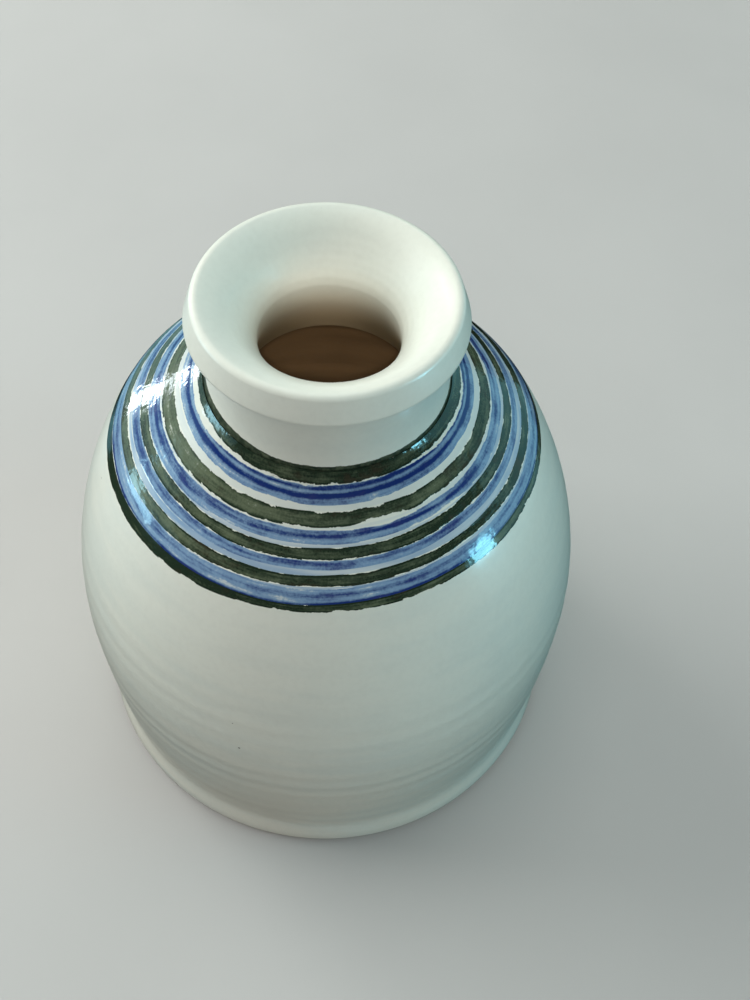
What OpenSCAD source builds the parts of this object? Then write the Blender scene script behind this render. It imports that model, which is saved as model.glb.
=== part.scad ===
// Hand-thrown ceramic bud vase: a squat stoneware body with a domed shoulder,
// a short collared neck with a rounded lip, a funnel mouth and a narrow throat.
// The clay is covered by thin fired glaze coats, and rings of green and blue
// glaze lie edge to edge on the shoulder.
// Millimetres, +Z up, origin at the centre of the foot, on the table.

/* [Body] */
// Greatest diameter of the body
body_d = 96; // [90:1:102]
// Height of the widest place above the table
belly_z = 34; // [30:1:38]
// Radius of the long curve of the side, below the widest place
side_r = 260; // [200:10:400]
// Radius of the curve of the shoulder, above the widest place
shoulder_r = 87; // [84:1:90]
// How far the foot flares out beyond the curve of the side
foot_flare = 1.8; // [0:0.1:2.5]
// Height over which the foot flares
foot_flare_h = 8; // [6:0.5:12]
// Height of the bare clay below the glaze line
glaze_line_z = 1.2; // [1:0.1:3]

/* [Shoulder] */
// Angle from upright at which the shoulder starts to roll over
roll_start_a = 29; // [27:0.5:31]
// Radius of the roll
roll_r = 15.5; // [12:0.5:20]
// Angle from upright of the straight slope up to the neck
slope_a = 50; // [46:0.5:52]
// Height of the neck's root above the table
neck_z = 92; // [90:0.5:93]

/* [Neck and lip] */
// Height of the underside of the lip
lip_z = 104.2; // [104:0.2:106]
// How far the neck is drawn in at its waist
neck_waist = 0.8; // [0:0.1:1.2]
// Radius of the round on the lip's lower edge
lip_edge_r = 1; // [0.8:0.1:1.2]
// Radius of the round on the lip's crest
crest_r = 1.1; // [0.8:0.1:1.2]
// Largest diameter of the lip
lip_d = 44; // [43.6:0.2:46]
// Diameter along the crest of the lip
crest_d = 39.6; // [39.6:0.2:42]
// Total height of the vase
total_h = 109.6; // [109:0.2:112]

/* [Throat] */
// Diameter of the throat, the narrowest place of the mouth
throat_d = 22.8; // [20:0.2:24]
// Height of the throat's upper end
throat_top_z = 100; // [98:0.5:101]
// Height of the throat's lower end
throat_end_z = 90; // [88:0.5:91]

/* [Clay and glaze] */
// Thickness of the clay wall, with its coats
wall = 5; // [4:0.5:6]
// Thickness of the clay floor over the foot, with its coat
floor_t = 7; // [6:0.5:9]
// Radius of the round between the inner wall and the floor
floor_round = 12; // [6:1:16]
// Thickness of every glaze coat and colour band
coat_t = 0.4; // [0.3:0.1:0.6]
// Width of the ring that the foot stands on
foot_ring_w = 8; // [5:1:12]
// Depth of the turned hollow under the foot
foot_hollow = 1.6; // [0.5:0.1:2.5]

/* [Bands, widths along the slope] */
// Every green band but the lowest
green_w = 2.1; // [1.6:0.1:2.4]
// Lowest green band, the dark edge of the pattern
green_edge_w = 1.1; // [0.8:0.1:1.4]
// First blue band, below the neck's green one
blue_1_w = 3.2; // [2.6:0.1:3.4]
// Second blue band
blue_2_w = 2; // [1.6:0.1:2.2]
// Third blue band, the pale one
blue_3_w = 1.2; // [1:0.1:1.6]
// Fourth blue band, the broad one near the edge
blue_4_w = 2.7; // [2.2:0.1:3]
// Wide white gap below the first blue band
white_wide_w = 1.5; // [1.2:0.1:1.8]
// White gap
white_w = 0.9; // [0.7:0.1:1.1]
// Hairline white gap
white_hair_w = 0.5; // [0.4:0.1:0.6]

/* [Hidden] */

clay_colour = [0.80, 0.72, 0.60];
white_colour = [0.88, 0.89, 0.84];
liner_colour = [0.45, 0.33, 0.22];
green_colour = [0.19, 0.24, 0.18];
blue_colour = [0.24, 0.36, 0.62];

$fn = 96;
body_r = body_d / 2;
throat_r = throat_d / 2;
side_steps = 14;     // points up the side
arc_steps = 12;      // points round the shoulder, and round the inner wall
strip_steps = 3;     // points across each band or gap
neck_steps = 8;      // points up the neck
round_steps = 6;     // points round the lip's edge and its crest
funnel_steps = 14;   // points down the funnel
floor_steps = 8;     // points round the inner corner
strip_count = 14;

// The strips of the pattern, from the neck's root down: every band and gap by its width.
strips = [
    green_w, blue_1_w, white_wide_w, green_w, white_w, blue_2_w, white_hair_w,
    green_w, blue_3_w, white_w, green_w, white_hair_w, blue_4_w, green_edge_w
];

// Sum of the first n members of a list.
function sum_of(list, n) = n == 0 ? 0 : list[n - 1] + sum_of(list, n - 1);
function backwards(list) = [for (i = [len(list) - 1 : -1 : 0]) list[i]];
function part_of(path, first, last) = [for (i = [first : last]) path[i]];
function arc(centre, r, a_from, a_to, steps) =
    [for (i = [0 : steps]) centre + r * [cos(a_from + (a_to - a_from) * i / steps),
                                         sin(a_from + (a_to - a_from) * i / steps)]];
function bezier(a, b, c, d, t) =
    a * pow(1 - t, 3) + 3 * b * t * pow(1 - t, 2) + 3 * c * t * t * (1 - t) + d * pow(t, 3);
// A path moved sideways by d, to the left of its direction.
function inset(path, d) =
    [for (i = [0 : len(path) - 1])
        let (ahead = path[min(i + 1, len(path) - 1)] - path[max(i - 1, 0)])
        path[i] + d * [-ahead[1], ahead[0]] / norm(ahead)];

// Side: a long arc below the widest place, and the flare of the foot.
function flare(z) = z < foot_flare_h ? foot_flare * (1 + cos(180 * z / foot_flare_h)) / 2 : 0;
function side(z) = body_r - side_r * (1 - cos(asin((belly_z - z) / side_r))) + flare(z);

// Shoulder: an arc from the widest place, a tighter roll, and a straight slope to the neck.
// A place on it is its length s down from the neck's root.
shoulder_centre = [body_r - shoulder_r, belly_z];
roll_from = shoulder_centre + shoulder_r * [cos(roll_start_a), sin(roll_start_a)];
roll_centre = roll_from - roll_r * [cos(roll_start_a), sin(roll_start_a)];
roll_to = roll_centre + roll_r * [cos(slope_a), sin(slope_a)];
slope_len = (neck_z - roll_to[1]) / cos(slope_a);
neck_r = roll_to[0] - slope_len * sin(slope_a);
roll_len = roll_r * (slope_a - roll_start_a) * PI / 180;
shoulder_len = slope_len + roll_len + shoulder_r * roll_start_a * PI / 180;
function shoulder(s) =
    s < slope_len ? [neck_r + s * sin(slope_a), neck_z - s * cos(slope_a)]
    : s < slope_len + roll_len
        ? let (a = slope_a - (s - slope_len) / roll_r * 180 / PI) roll_centre + roll_r * [cos(a), sin(a)]
        : let (a = (shoulder_len - s) / shoulder_r * 180 / PI)
            shoulder_centre + shoulder_r * [cos(a), sin(a)];
pattern_len = sum_of(strips, strip_count);

// Neck: drawn in at the waist between its root and the underside of the lip.
neck_top_r = neck_r + 0.2;
function neck(u) = [neck_r + (neck_top_r - neck_r) * u - neck_waist * sin(180 * u),
                    neck_z + (lip_z - neck_z) * u];

// Lip: a round lower edge and a round crest, joined by a straight face.
edge_centre = [lip_d / 2 - lip_edge_r, lip_z + lip_edge_r];
crest_centre = [crest_d / 2, total_h - crest_r];
face_a = atan2(edge_centre[0] - crest_centre[0], crest_centre[1] - edge_centre[1]);
funnel_start_a = 110;   // the funnel leaves the crest sloping down at 20 degrees
funnel_from = crest_centre + crest_r * [cos(funnel_start_a), sin(funnel_start_a)];
funnel_to = [throat_r, throat_top_z];
funnel_reach = (funnel_from[0] - throat_r) * 0.38;

side_path = [for (i = [0 : side_steps - 1])
    let (z = glaze_line_z + (belly_z - glaze_line_z) * i / side_steps) [side(z), z]];
shoulder_path = [for (i = [0 : arc_steps - 1])
    shoulder(shoulder_len + (pattern_len - shoulder_len) * i / arc_steps)];
strip_path = [for (k = [strip_count - 1 : -1 : 0], i = [strip_steps : -1 : 1])
    shoulder(sum_of(strips, k) + strips[k] * i / strip_steps)];
neck_path = [for (i = [0 : neck_steps]) neck(i / neck_steps)];
lip_path = concat(arc(edge_centre, lip_edge_r, -90, face_a, round_steps),
                  arc(crest_centre, crest_r, face_a, funnel_start_a, round_steps));
funnel_path = [for (i = [1 : funnel_steps])
    bezier(funnel_from, funnel_from - funnel_reach * [1, tan(funnel_start_a - 90)],
           funnel_to + [0, 0.6 * (funnel_from[1] - throat_top_z)], funnel_to, i / funnel_steps)];

// The glazed surface from the glaze line at the foot to the throat's lower end,
// and the clay's own surface one coat below it. The neck stands on the body's flat rim.
glazed = concat(side_path, shoulder_path, strip_path, neck_path, lip_path, funnel_path,
                [[throat_r, throat_end_z]]);
clay = inset(glazed, coat_t);
first_strip = side_steps + arc_steps;
first_neck = first_strip + strip_count * strip_steps;
last_point = len(glazed) - 1;
bore_r = throat_r + coat_t;
rim_edge = [bore_r, clay[first_neck][1]];

// The surface inside the vase, from the throat's lower end down to the middle of the floor.
corner_centre = [side(floor_t + floor_round) - wall - floor_round, floor_t + floor_round];
chamber = concat(
    [[throat_r, throat_end_z]],
    arc(shoulder_centre, shoulder_r - wall, roll_start_a, 0, arc_steps),
    [for (i = [1 : side_steps]) let (z = belly_z + (corner_centre[1] - belly_z) * i / side_steps)
        [side(z) - wall, z]],
    part_of(arc(corner_centre, floor_round, 0, -90, floor_steps), 1, floor_steps),
    [[0, floor_t]]);
chamber_clay = concat([[bore_r, throat_end_z]],
                      part_of(inset(chamber, coat_t), 1, len(chamber) - 2),
                      [[0, floor_t - coat_t]]);

// Foot: bare clay with a rounded edge, a flat ring to stand on and a shallow hollow.
foot_round = 0.8;
foot_r = clay[0][0];
foot_path = concat(
    [[0, foot_hollow], [foot_r - foot_ring_w - foot_hollow, foot_hollow], [foot_r - foot_ring_w, 0]],
    arc([foot_r - foot_round, foot_round], foot_round, -90, 0, round_steps));

module turned(outline) {
    rotate_extrude() polygon(outline);
}

// One coat between two places on the glazed surface.
module coat(first, last) {
    turned(concat(part_of(glazed, first, last), backwards(part_of(clay, first, last))));
}

// The coat of one strip of the pattern, counted from the neck's root.
module strip(k) {
    start = first_strip + (strip_count - 1 - k) * strip_steps;
    coat(start, start + strip_steps);
}

// Thrown body: foot, floor, side and shoulder, open at the top where the neck is set on.
module clay_body() {
    color(clay_colour)
        turned(concat(foot_path, part_of(clay, 0, first_neck), [rim_edge], chamber_clay));
}

// Thrown neck: its root is set on the body's rim, and its bore runs on into the body's.
module clay_neck() {
    color(clay_colour) turned(concat(part_of(clay, first_neck, last_point - 1), [rim_edge]));
}

module body_glaze() {
    color(white_colour) coat(0, first_strip);
}

// The white rings that show between the bands.
module shoulder_glaze() {
    color(white_colour) for (k = [2, 4, 6, 9, 11]) strip(k);
}

module neck_glaze() {
    color(white_colour) coat(first_neck, last_point);
}

module liner_glaze() {
    color(liner_colour) turned(concat(chamber, backwards(chamber_clay)));
}

module green_band_1() { color(green_colour) strip(0); }
module green_band_2() { color(green_colour) strip(3); }
module green_band_3() { color(green_colour) strip(7); }
module green_band_4() { color(green_colour) strip(10); }
module green_band_5() { color(green_colour) strip(13); }
module blue_band_1() { color(blue_colour) strip(1); }
module blue_band_2() { color(blue_colour) strip(5); }
module blue_band_3() { color(blue_colour) strip(8); }
module blue_band_4() { color(blue_colour) strip(12); }

clay_body();
clay_neck();
body_glaze();
shoulder_glaze();
neck_glaze();
liner_glaze();
green_band_1();
green_band_2();
green_band_3();
green_band_4();
green_band_5();
blue_band_1();
blue_band_2();
blue_band_3();
blue_band_4();
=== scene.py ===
"""Looks for a hand-thrown ceramic bud vase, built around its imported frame.

The clay, the glaze coats and the brushed bands are surfaces of revolution that are put a little
out of true, as a thrown pot is. One function gives the potter's outline, one puts it out of true,
and every piece takes its walls from those two, so that the layers lie on each other.
"""

import math

import bpy
import numpy as np
from mathutils import Matrix, Vector


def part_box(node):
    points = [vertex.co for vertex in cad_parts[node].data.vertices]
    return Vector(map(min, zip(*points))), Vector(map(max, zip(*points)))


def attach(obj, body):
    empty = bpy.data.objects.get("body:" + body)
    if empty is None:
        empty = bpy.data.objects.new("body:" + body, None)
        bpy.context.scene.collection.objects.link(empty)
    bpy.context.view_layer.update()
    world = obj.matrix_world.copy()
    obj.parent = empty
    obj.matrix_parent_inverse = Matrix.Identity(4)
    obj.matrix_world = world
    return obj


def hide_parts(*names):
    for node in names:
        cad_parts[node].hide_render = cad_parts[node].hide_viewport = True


bl_info = {
    "name": "Bud Vase Looks",
    "version": (1, 0, 0),
    "blender": (4, 5, 0),
    "location": "3D View > Sidebar > Bud Vase",
    "description": "Builds the clay, the glaze coats and the brushed bands of a small thrown vase",
    "category": "Object",
}

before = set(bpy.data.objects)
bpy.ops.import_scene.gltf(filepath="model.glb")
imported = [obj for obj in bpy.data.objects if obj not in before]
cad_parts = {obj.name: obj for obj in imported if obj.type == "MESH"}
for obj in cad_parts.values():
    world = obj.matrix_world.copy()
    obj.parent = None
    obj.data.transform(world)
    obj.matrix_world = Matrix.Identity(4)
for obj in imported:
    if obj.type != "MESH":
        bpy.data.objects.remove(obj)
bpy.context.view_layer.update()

MM = 0.001
FOOT, TOP = 0, 1
FINE_COLUMNS = 720  # faces round the pieces that show
NECK_COLUMNS = 480  # faces round the neck, the lip and the throat
PLAIN_COLUMNS = 240  # faces round the clay and the liner
SHARP = math.radians(38)  # creases steeper than this stay sharp
DRUM = 0.030  # radius of the drum on which the brushwork is laid out, in metres

BODY_RADIUS = round(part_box("body_glaze")[TOP].x, 4)
GLAZE_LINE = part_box("body_glaze")[FOOT].z
NECK_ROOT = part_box("green_band_1")[TOP].z
LIP_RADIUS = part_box("neck_glaze")[TOP].x
TOTAL_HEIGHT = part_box("neck_glaze")[TOP].z


# ---------------------------------------------------------------- properties


def length(name, description, default):
    """A length in metres for a property group."""
    return bpy.props.FloatProperty(
        name=name, description=description, default=default, unit="LENGTH", precision=5
    )


def angle(name, description, degrees):
    """An angle for a property group, given in degrees and kept in radians."""
    return bpy.props.FloatProperty(
        name=name, description=description, default=math.radians(degrees), subtype="ANGLE"
    )


def number(name, description, default):
    """A plain number for a property group."""
    return bpy.props.FloatProperty(name=name, description=description, default=default)


def colour(name, description, red, green, blue):
    """A colour for a property group, in linear light."""
    return bpy.props.FloatVectorProperty(
        name=name, description=description, default=(red, green, blue), size=3,
        subtype="COLOR", min=0, max=1,
    )


class VaseShape(bpy.types.PropertyGroup):
    """The potter's outline."""

    belly_height: length("Belly height", "Height of the widest place", 0.034)
    side_radius: length("Side radius", "Radius of the long curve below the widest place", 0.260)
    shoulder_radius: length("Shoulder radius", "Radius of the curve above it", 0.087)
    roll_start: angle("Roll start", "Angle from upright at which the shoulder rolls over", 29)
    roll_radius: length("Roll radius", "Radius of the roll", 0.0155)
    slope: angle("Slope", "Angle from upright of the slope up to the neck", 50)
    foot_flare: length("Foot flare", "How far the foot flares out", 0.0018)
    foot_flare_height: length("Foot flare height", "Height over which it flares", 0.008)
    neck_waist: length("Neck waist", "How far the neck is drawn in", 0.0008)
    neck_spread: length("Neck spread", "How much wider the neck is at its top", 0.0002)
    lip_height: length("Lip height", "Height of the underside of the lip", 0.1042)
    lip_edge: length("Lip edge", "Radius of the round on the lip's lower edge", 0.001)
    crest: length("Crest", "Radius of the round on the lip's crest", 0.0011)
    crest_radius: length("Crest circle", "Radius of the circle along the crest", 0.0198)
    crest_end: angle("Crest end", "Angle at which the funnel leaves the crest", 110)
    root_rise: length("Root rise", "How far the fillet lifts the glaze at the neck's root", 0.00028)
    root_reach: length("Root reach", "Length of the fillet down the shoulder", 0.0026)
    throat_radius: length("Throat radius", "Radius of the throat at its narrowest", 0.0113)
    throat_top: length("Throat top", "Height of its narrowest place", 0.0995)
    throat_foot: length("Throat foot", "Height at which the throat opens into the body", 0.0863)
    throat_foot_radius: length("Throat foot radius", "Radius of the throat there", 0.0150)
    wall: length("Wall", "Thickness of the clay wall with its coats", 0.005)
    floor: length("Floor", "Thickness of the clay floor with its coat", 0.007)
    floor_round: length("Floor round", "Radius between the inner wall and the floor", 0.012)
    foot_width: length("Foot width", "Width of the ring that the pot stands on", 0.008)
    foot_round: length("Foot round", "Radius of the round on the foot's outer edge", 0.0008)
    foot_hollow: length("Foot hollow", "Height of the hollow under the floor", 0.0016)
    coat: length("Coat", "Thickness of the glaze", 0.0004)


class VaseHand(bpy.types.PropertyGroup):
    """What the hand leaves: how far the pot is out of true."""

    ring_depth: length("Ring depth", "Height of the throwing rings on the side", 0.000045)
    ring_pitch: length("Ring pitch", "Rise of the throwing spiral in one turn", 0.0052)
    oval: number("Oval", "Share by which the body is out of round", 0.0035)
    rim_tilt: angle("Rim tilt", "How far the rim leans to the back", 1.1)
    throat_rings: length("Throat rings", "Height of the throwing rings in the throat", 0.000012)
    throat_shift: length("Throat shift", "How far right of centre the throat sits", 0.0003)
    spread: number("Pattern spread", "Share by which the pattern is wider on its wide side", 0.095)
    wander: length("Wander", "How far the edges of the bands wander", 0.00014)


class VaseColours(bpy.types.PropertyGroup):
    """Fired colours, in linear light."""

    ivory: colour("Ivory", "White glaze where it is thick", 0.66, 0.68, 0.60)
    clay: colour("Clay", "Bare fired clay", 0.50, 0.40, 0.28)
    honey: colour("Honey", "Liner glaze inside the body", 0.28, 0.165, 0.075)
    moss: colour("Moss", "Green glaze where it is thick", 0.016, 0.029, 0.017)
    umber: colour("Umber", "Green glaze where it has burnt brown", 0.034, 0.031, 0.018)
    violet: colour("Violet", "Blue glaze where it has turned violet", 0.020, 0.032, 0.145)
    sage: colour("Sage", "Green glaze where it is thin", 0.105, 0.130, 0.080)
    cobalt: colour("Cobalt", "Blue glaze where it is thick", 0.009, 0.027, 0.140)
    sky: colour("Sky", "Blue glaze where it is thin", 0.175, 0.285, 0.42)
    floor: colour("Floor", "The plain floor", 0.44, 0.43, 0.41)


class VaseStage(bpy.types.PropertyGroup):
    """The camera and the light."""

    lens: number("Lens", "Focal length in millimetres", 41.3)
    eye_back: length("Eye back", "How far the camera stands in front of the axis", 0.1215)
    eye_height: length("Eye height", "Height of the camera", 0.2344)
    tilt: angle("Tilt", "How far the camera looks down", 56.0)
    pan: angle("Pan", "How far the camera is turned right about its own upright", 2.36)
    window_power: number("Window power", "Power in watts of a window with a share of 1", 9.0)
    beam_power: number("Beam power", "Power of the main beam through the mouth in watts", 1.05)
    sky_strength: number("Sky strength", "Strength of the even light all round", 0.33)


GROUPS = {
    "vase_shape": VaseShape,
    "vase_hand": VaseHand,
    "vase_colours": VaseColours,
    "vase_stage": VaseStage,
}


# ---------------------------------------------------------------- the outline


def smooth(low, high, value):
    """Rises from 0 to 1 between low and high, with level ends."""
    t = np.clip((value - low) / (high - low), 0.0, 1.0)
    return t * t * (3.0 - 2.0 * t)


def arc(centre, radius, start, end, steps):
    """Points on a circle between two angles, as rows of r and z."""
    a = np.linspace(start, end, steps + 1)
    return np.stack([centre[0] + radius * np.cos(a), centre[1] + radius * np.sin(a)], axis=1)


def bezier(a, b, c, d, steps):
    """Points on the cubic curve from a to d that b and c pull, without a itself."""
    t = np.linspace(0.0, 1.0, steps + 1)[1:, None]
    return a * (1 - t) ** 3 + 3 * b * t * (1 - t) ** 2 + 3 * c * t * t * (1 - t) + d * t ** 3


class Outline:
    """The pot's outline in r and z, worked out from the sizes in VaseShape."""

    def __init__(self, shape):
        """Finds where the arcs of the shoulder join."""
        self.shape = shape
        start, slope = shape.roll_start, shape.slope
        self.shoulder_centre = np.array([BODY_RADIUS - shape.shoulder_radius, shape.belly_height])
        towards = np.array([math.cos(start), math.sin(start)])
        roll_from = self.shoulder_centre + shape.shoulder_radius * towards
        self.roll_centre = roll_from - shape.roll_radius * towards
        roll_to = self.roll_centre + shape.roll_radius * np.array([math.cos(slope), math.sin(slope)])
        self.slope_length = (NECK_ROOT - roll_to[1]) / math.cos(slope)
        self.roll_length = shape.roll_radius * (slope - start)
        self.shoulder_length = self.slope_length + self.roll_length + shape.shoulder_radius * start
        self.neck_radius = roll_to[0] - self.slope_length * math.sin(slope)

    def side(self, z):
        """Radius of the side: a long arc below the belly, and the flare of the foot."""
        shape = self.shape
        turn = np.arcsin((shape.belly_height - z) / shape.side_radius)
        flare = np.where(
            z < shape.foot_flare_height,
            shape.foot_flare * (1 + np.cos(np.pi * z / shape.foot_flare_height)) / 2, 0.0,
        )
        return BODY_RADIUS - shape.side_radius * (1 - np.cos(turn)) + flare

    def shoulder(self, s, depth=0.0):
        """r and z at the length s down from the neck's root, at a depth below the surface.

        The slope is straight, the roll is an arc, and so is the shoulder down to the belly. A
        fillet, the square of the length that is left to its end, eases it out of the neck.
        """
        shape = self.shape
        slope = shape.slope
        on_slope = s < self.slope_length
        on_roll = s < self.slope_length + self.roll_length
        roll_turn = slope - (s - self.slope_length) / shape.roll_radius
        wide_turn = (self.shoulder_length - s) / shape.shoulder_radius
        turn = np.where(on_slope, slope, np.where(on_roll, roll_turn, wide_turn))
        roll_r = self.roll_centre[0] + shape.roll_radius * np.cos(roll_turn)
        roll_z = self.roll_centre[1] + shape.roll_radius * np.sin(roll_turn)
        wide_r = self.shoulder_centre[0] + shape.shoulder_radius * np.cos(wide_turn)
        wide_z = self.shoulder_centre[1] + shape.shoulder_radius * np.sin(wide_turn)
        r = np.where(on_slope, self.neck_radius + s * math.sin(slope), np.where(on_roll, roll_r, wide_r))
        z = np.where(on_slope, NECK_ROOT - s * math.cos(slope), np.where(on_roll, roll_z, wide_z))
        depth = depth - shape.root_rise * np.clip(1 - s / shape.root_reach, 0.0, 1.0) ** 2
        return r - depth * np.cos(turn), z - depth * np.sin(turn)

    def neck_and_mouth(self):
        """Neck, lip, funnel and throat: a waisted line, two small rounds and a curve."""
        shape = self.shape
        u = np.linspace(0.0, 1.0, 25)
        fillet = shape.root_rise * math.cos(shape.slope) * np.clip(1 - 4 * u, 0.0, 1.0) ** 2
        waist = shape.neck_waist * np.sin(np.pi * u)
        neck_r = self.neck_radius + shape.neck_spread * u - waist + fillet
        neck = np.stack([neck_r, NECK_ROOT + (shape.lip_height - NECK_ROOT) * u], axis=1)
        edge = np.array([LIP_RADIUS - shape.lip_edge, shape.lip_height + shape.lip_edge])
        crest = np.array([shape.crest_radius, TOTAL_HEIGHT - shape.crest])
        face = math.atan2(edge[0] - crest[0], crest[1] - edge[1])
        leave = shape.crest_end
        funnel_from = crest + shape.crest * np.array([math.cos(leave), math.sin(leave)])
        throat = np.array([shape.throat_radius, shape.throat_top])
        throat_foot = np.array([shape.throat_foot_radius, shape.throat_foot])
        reach = (funnel_from[0] - shape.throat_radius) * 0.5
        dip = leave - math.pi / 2
        above = np.array([0.0, 0.3 * (funnel_from[1] - shape.throat_top)])
        below = np.array([0.0, -0.35 * (shape.throat_top - shape.throat_foot)])
        return np.concatenate([
            neck,
            arc(edge, shape.lip_edge, -math.pi / 2, face, 14),
            arc(crest, shape.crest, face, leave, 14),
            bezier(funnel_from, funnel_from - reach * np.array([1.0, math.tan(dip)]),
                   throat + above, throat, 44),
            bezier(throat, throat + below, throat_foot + 0.3 * (throat - throat_foot),
                   throat_foot, 24),
        ])

    def chamber(self):
        """The inside of the body: roof, shoulder, wall, corner and floor."""
        shape = self.shape
        corner_z = shape.floor + shape.floor_round
        z = np.linspace(shape.belly_height, corner_z, 16)[1:]
        corner = np.array([self.side(corner_z) - shape.wall - shape.floor_round, corner_z])
        return np.concatenate([
            [[shape.throat_foot_radius, shape.throat_foot]],
            arc(self.shoulder_centre, shape.shoulder_radius - shape.wall, shape.roll_start, 0.0, 40),
            np.stack([self.side(z) - shape.wall, z], axis=1),
            arc(corner, shape.floor_round, 0.0, -math.pi / 2, 12)[1:],
            [[0.0, shape.floor]],
        ])


def inset(path, depth):
    """A path moved sideways by depth, to the left of its direction."""
    ahead = np.gradient(path, axis=0)
    ahead /= np.linalg.norm(ahead, axis=1, keepdims=True)
    return path + depth * np.stack([-ahead[:, 1], ahead[:, 0]], axis=1)


# ---------------------------------------------------------------- out of true


# Marks of the potter's tool near the foot: angle in degrees, height, reach and rise in metres.
TOOL_MARKS = [
    (-98, 0.0075, 0.006, 0.00014), (-86, 0.0058, 0.004, -0.00010), (-104, 0.0105, 0.005, -0.00007),
    (-168, 0.0150, 0.004, 0.00014), (-163, 0.0105, 0.005, 0.00012), (-172, 0.0215, 0.004, 0.00012),
    (-152, 0.0090, 0.007, -0.00010), (40, 0.0120, 0.006, 0.00010), (120, 0.0095, 0.007, -0.00010),
]
MARK_SLANT = 0.12  # how much a mark rises along its length
MARK_HEIGHT = 0.0008


def on_body(r):
    """1 on the outside of the body and 0 inside it."""
    return smooth(0.0438, 0.0446, r)


def out_of_true(r, z, turn, hand):
    """Puts a point of the outline where the hand left it, as x, y and z.

    The body is a little oval. A spiral of throwing rings runs up the side, and a finer one runs
    down the throat, which sits a little off centre. The rim leans to the back.
    """
    on_side = smooth(0.004, 0.012, z) * (1 - smooth(0.050, 0.078, z)) * smooth(0.030, 0.040, r)
    spiral = 2 * np.pi * z / hand.ring_pitch - turn
    swell = 0.6 + 0.4 * np.sin(3.1 * z / 0.01 + 1.7 * np.sin(turn + 0.6))
    r = r + hand.ring_depth * on_side * swell * np.sin(spiral + 0.5 * np.sin(2 * turn))
    in_throat = (1 - smooth(0.0150, 0.0185, r)) * smooth(0.080, 0.086, z)
    r = r + hand.throat_rings * in_throat * np.sin(2 * np.pi * z / 0.0013 - turn + np.sin(900 * z))
    for degrees, height, reach, rise in TOOL_MARKS:
        off = np.angle(np.exp(1j * (turn - math.radians(degrees)))) * BODY_RADIUS
        slanted = z - height + MARK_SLANT * off
        r = r + rise * on_body(r) * np.exp(-(off / reach) ** 2 - (slanted / MARK_HEIGHT) ** 2)
    low = smooth(0.002, 0.020, z) * (1 - smooth(0.085, 0.105, z))
    r = r * (1 + hand.oval * low * np.cos(2 * turn + 0.7) + 0.4 * hand.oval * low * np.cos(3 * turn))
    x, y = r * np.cos(turn), r * np.sin(turn)
    lean = math.tan(hand.rim_tilt) * smooth(NECK_ROOT, 0.104, z)
    return x + hand.throat_shift * in_throat, y, z - lean * y


# ---------------------------------------------------------------- meshes


def woven(rows, columns, closed):
    """Faces of a grid that is closed round the pot and, if closed is true, round its section."""
    last = rows if closed else rows - 1
    row = np.arange(last)[:, None]
    column = np.arange(columns)[None, :]
    above, beside = (row + 1) % rows, (column + 1) % columns
    corners = [row * columns + column, row * columns + beside,
               above * columns + beside, above * columns + column]
    return np.stack(np.broadcast_arrays(*corners), axis=-1).reshape(-1, 4)


def mesh_of(name, points, quads, triangles, attributes):
    """A smooth mesh from arrays of points and faces, with its creases kept sharp."""
    mesh = bpy.data.meshes.new(name)
    mesh.vertices.add(len(points))
    mesh.vertices.foreach_set("co", points.astype(np.float32).ravel())
    corners = np.concatenate([quads.ravel(), triangles.ravel()]).astype(np.int32)
    sizes = np.concatenate([np.full(len(quads), 4), np.full(len(triangles), 3)])
    mesh.loops.add(len(corners))
    mesh.loops.foreach_set("vertex_index", corners)
    mesh.polygons.add(len(sizes))
    starts = np.concatenate([[0], np.cumsum(sizes)[:-1]]).astype(np.int32)
    mesh.polygons.foreach_set("loop_start", starts)
    mesh.update(calc_edges=True)
    mesh.polygons.foreach_set("use_smooth", np.ones(len(sizes), dtype=bool))
    mesh.set_sharp_from_angle(angle=SHARP)
    for key, values in attributes.items():
        vector = values.ndim == 2
        layer = mesh.attributes.new(key, "FLOAT_VECTOR" if vector else "FLOAT", "POINT")
        layer.data.foreach_set("vector" if vector else "value", values.astype(np.float32).ravel())
    return mesh


def section_rings(sections, columns):
    """Points and faces of closed rings of wall, each from its section as grids of r and z.

    A section is rows by columns: a row is one line round the pot, and the rows run once round the
    wall, up its outside and down its inside.
    """
    hand = bpy.context.scene.vase_hand
    turn = around(columns)[None, :]
    points, quads, base = [], [], 0
    for r, z in sections:
        rows = r.shape[0]
        points.append(np.stack(out_of_true(r, z, turn, hand), axis=-1).reshape(-1, 3))
        quads.append(woven(rows, columns, closed=True) + base)
        base += rows * columns
    return np.concatenate(points), np.concatenate(quads)


def around(columns):
    """The angles of the columns, once round the pot."""
    return np.arange(columns) * 2 * np.pi / columns


def spun(path, columns):
    """The path carried round the pot: r and z as grids of rows by columns."""
    flat = np.ones(columns)[None, :]
    return path[:, :1] * flat, path[:, 1:] * flat


def ring_piece(name, sections, columns, attributes=None):
    """An object made of closed rings of wall."""
    points, quads = section_rings(sections, columns)
    mesh = mesh_of(name, points, quads, np.zeros((0, 3), int), attributes or {})
    return linked(name, mesh)


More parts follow.
